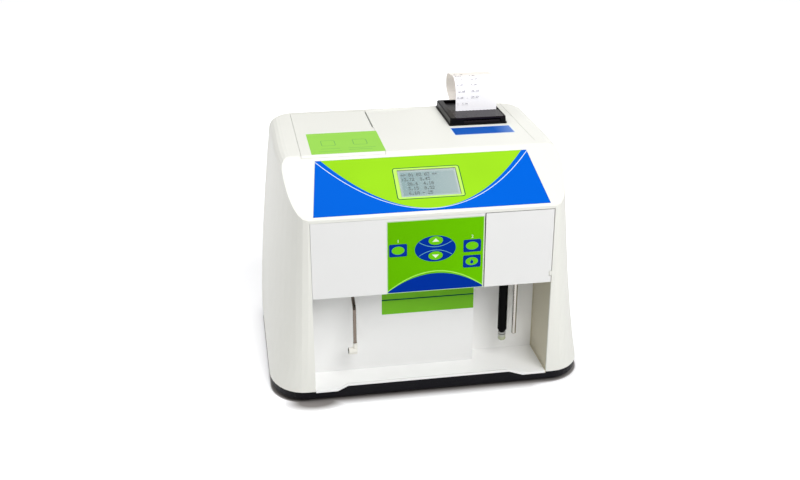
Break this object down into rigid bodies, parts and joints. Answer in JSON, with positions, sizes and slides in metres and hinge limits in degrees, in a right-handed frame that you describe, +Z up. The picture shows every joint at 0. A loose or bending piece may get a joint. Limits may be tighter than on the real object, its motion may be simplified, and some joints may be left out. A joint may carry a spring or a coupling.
{
  "type": "milk analyzer",
  "caption": "Bench-top milk analyzer with a sloping display, keypad panel, open sample bay with tube and probes, pump under a hatch, and a receipt printer.",
  "frame": {"origin": "centre of the bounding box's underside, on the bench between the feet", "axes": "+X to the user's right, +Y to the back, +Z up; the display and the sample bay face -Y"},
  "size_m": [0.41, 0.298, 0.3509],
  "materials": {
    "black_plastic": "satin",
    "black_rubber": "dull",
    "blue_print": "printed film",
    "circuit_board": "solder mask",
    "clear_guard": "clear plastic",
    "cream_plastic": "smooth",
    "display_lens": "clear, polished",
    "grey_plastic": "satin",
    "keypad_print": "printed film",
    "red_rocker": "polished",
    "silicone": "smooth silicone",
    "smoked_plastic": "smoked, polished",
    "stainless_steel": "brushed",
    "thermal_paper": "coated paper",
    "warm_white_abs": "fine satin moulding"
  },
  "bodies": {
    "body": {"base_pan": "black_plastic", "control_panel": "warm_white_abs", "display_module": "circuit_board", "display_overlay": "blue_print", "display_window": "display_lens", "door_hinge_pin": "stainless_steel", "fan_frame": "black_plastic", "feed_hose": "silicone", "foot_front_left": "black_rubber", "foot_front_right": "black_rubber", "foot_rear_left": "black_rubber", "foot_rear_right": "black_rubber", "housing": "warm_white_abs", "intake_tip": "cream_plastic", "intake_tube": "stainless_steel", "keypad_board": "circuit_board", "keypad_overlay": "keypad_print", "main_board": "circuit_board", "paper_bin": "black_plastic", "ph_guard": "clear_guard", "ph_lead": "black_rubber", "ph_probe": "black_plastic", "power_inlet": "black_plastic", "power_supply": "stainless_steel", "print_head": "stainless_steel", "printer_bezel": "black_plastic", "printer_cover": "smoked_plastic", "probe_holder": "warm_white_abs", "pump_hose": "silicone", "pump_link_hose": "silicone", "pump_motor": "stainless_steel", "pump_track": "cream_plastic", "pump_tub": "grey_plastic", "rear_panel": "black_plastic", "sample_bay": "warm_white_abs", "sensor_cell": "stainless_steel", "serial_port": "stainless_steel", "switch_case": "black_plastic", "temperature_lead": "black_rubber", "temperature_probe": "stainless_steel"},
    "door": {"probe_door": "warm_white_abs"},
    "hatch": {"pump_hatch": "warm_white_abs"},
    "rotor": {"pump_rotor": "grey_plastic"},
    "roller_1": {"pump_roller_1": "cream_plastic"},
    "roller_2": {"pump_roller_2": "cream_plastic"},
    "roller_3": {"pump_roller_3": "cream_plastic"},
    "release": {"printer_release": "smoked_plastic"},
    "paper_door": {"paper_door": "black_plastic", "paper_strip": "thermal_paper"},
    "platen": {"platen_roller": "black_rubber", "platen_gear": "cream_plastic"},
    "drive": {"drive_gear": "cream_plastic"},
    "roll": {"paper_roll": "thermal_paper"},
    "key_mode": {"key_mode": "blue_print"},
    "key_up": {"key_up": "blue_print"},
    "key_down": {"key_down": "blue_print"},
    "key_ok": {"key_ok": "blue_print"},
    "key_clean": {"key_clean": "blue_print"},
    "rocker": {"power_rocker": "red_rocker"},
    "fan": {"fan_rotor": "grey_plastic"}
  },
  "joints": [
    {"name": "door_hinge", "type": "hinge", "parent": "body", "child": "door", "pos_m": [0.1484, -0.1475, 0.15], "axis": [0, 0, 1], "range_deg": [0, 95]},
    {"name": "hatch_hinge", "type": "hinge", "parent": "body", "child": "hatch", "pos_m": [-0.098, 0.1285, 0.2964], "axis": [-1, 0, 0], "range_deg": [0, 95]},
    {"name": "pump_turn", "type": "hinge", "parent": "body", "child": "rotor", "pos_m": [-0.098, 0.034, 0.24], "axis": [0, 0, 1], "continuous": true},
    {"name": "roller_1_turn", "type": "hinge", "parent": "rotor", "child": "roller_1", "pos_m": [-0.098, 0.0509, 0.24], "axis": [0, 0, 1], "continuous": true},
    {"name": "roller_2_turn", "type": "hinge", "parent": "rotor", "child": "roller_2", "pos_m": [-0.11264, 0.02555, 0.24], "axis": [0, 0, 1], "continuous": true},
    {"name": "roller_3_turn", "type": "hinge", "parent": "rotor", "child": "roller_3", "pos_m": [-0.08336, 0.02555, 0.24], "axis": [0, 0, 1], "continuous": true},
    {"name": "release_slide", "type": "slide", "parent": "body", "child": "release", "axis": [0, 1, 0], "range_m": [0, 0.0015], "stiffness_N_per_m": 800, "springref_m": -0.001},
    {"name": "paper_door_hinge", "type": "hinge", "parent": "body", "child": "paper_door", "pos_m": [0.102, 0.1215, 0.3038], "axis": [-1, 0, 0], "range_deg": [0, 60]},
    {"name": "platen_turn", "type": "hinge", "parent": "paper_door", "child": "platen", "pos_m": [0.102, 0.0794, 0.2948], "axis": [1, 0, 0], "continuous": true},
    {"name": "drive_turn", "type": "hinge", "parent": "body", "child": "drive", "pos_m": [0.102, 0.0794, 0.2812], "axis": [1, 0, 0], "continuous": true},
    {"name": "roll_turn", "type": "hinge", "parent": "body", "child": "roll", "pos_m": [0.102, 0.1057, 0.269], "axis": [1, 0, 0], "continuous": true},
    {"name": "mode_press", "type": "slide", "parent": "body", "child": "key_mode", "axis": [0, 1, 0], "range_m": [0, 0.0004], "stiffness_N_per_m": 2000, "springref_m": -0.0005},
    {"name": "up_press", "type": "slide", "parent": "body", "child": "key_up", "axis": [0, 1, 0], "range_m": [0, 0.0004], "stiffness_N_per_m": 2000, "springref_m": -0.0005},
    {"name": "down_press", "type": "slide", "parent": "body", "child": "key_down", "axis": [0, 1, 0], "range_m": [0, 0.0004], "stiffness_N_per_m": 2000, "springref_m": -0.0005},
    {"name": "ok_press", "type": "slide", "parent": "body", "child": "key_ok", "axis": [0, 1, 0], "range_m": [0, 0.0004], "stiffness_N_per_m": 2000, "springref_m": -0.0005},
    {"name": "clean_press", "type": "slide", "parent": "body", "child": "key_clean", "axis": [0, 1, 0], "range_m": [0, 0.0004], "stiffness_N_per_m": 2000, "springref_m": -0.0005},
    {"name": "power_rock", "type": "hinge", "parent": "body", "child": "rocker", "pos_m": [0.045, 0.14267, 0.0734], "axis": [1, 0, 0], "range_deg": [0, 18]},
    {"name": "fan_turn", "type": "hinge", "parent": "body", "child": "fan", "pos_m": [-0.078, 0.1365, 0.0954], "axis": [0, 1, 0], "continuous": true}
  ],
  "couplings": [
    {"joint": "roller_1_turn", "follows": "pump_turn", "ratio": -4.25},
    {"joint": "roller_2_turn", "follows": "pump_turn", "ratio": -4.25},
    {"joint": "roller_3_turn", "follows": "pump_turn", "ratio": -4.25},
    {"joint": "platen_turn", "follows": "roll_turn", "ratio": 3.4},
    {"joint": "drive_turn", "follows": "roll_turn", "ratio": -2.38}
  ]
}
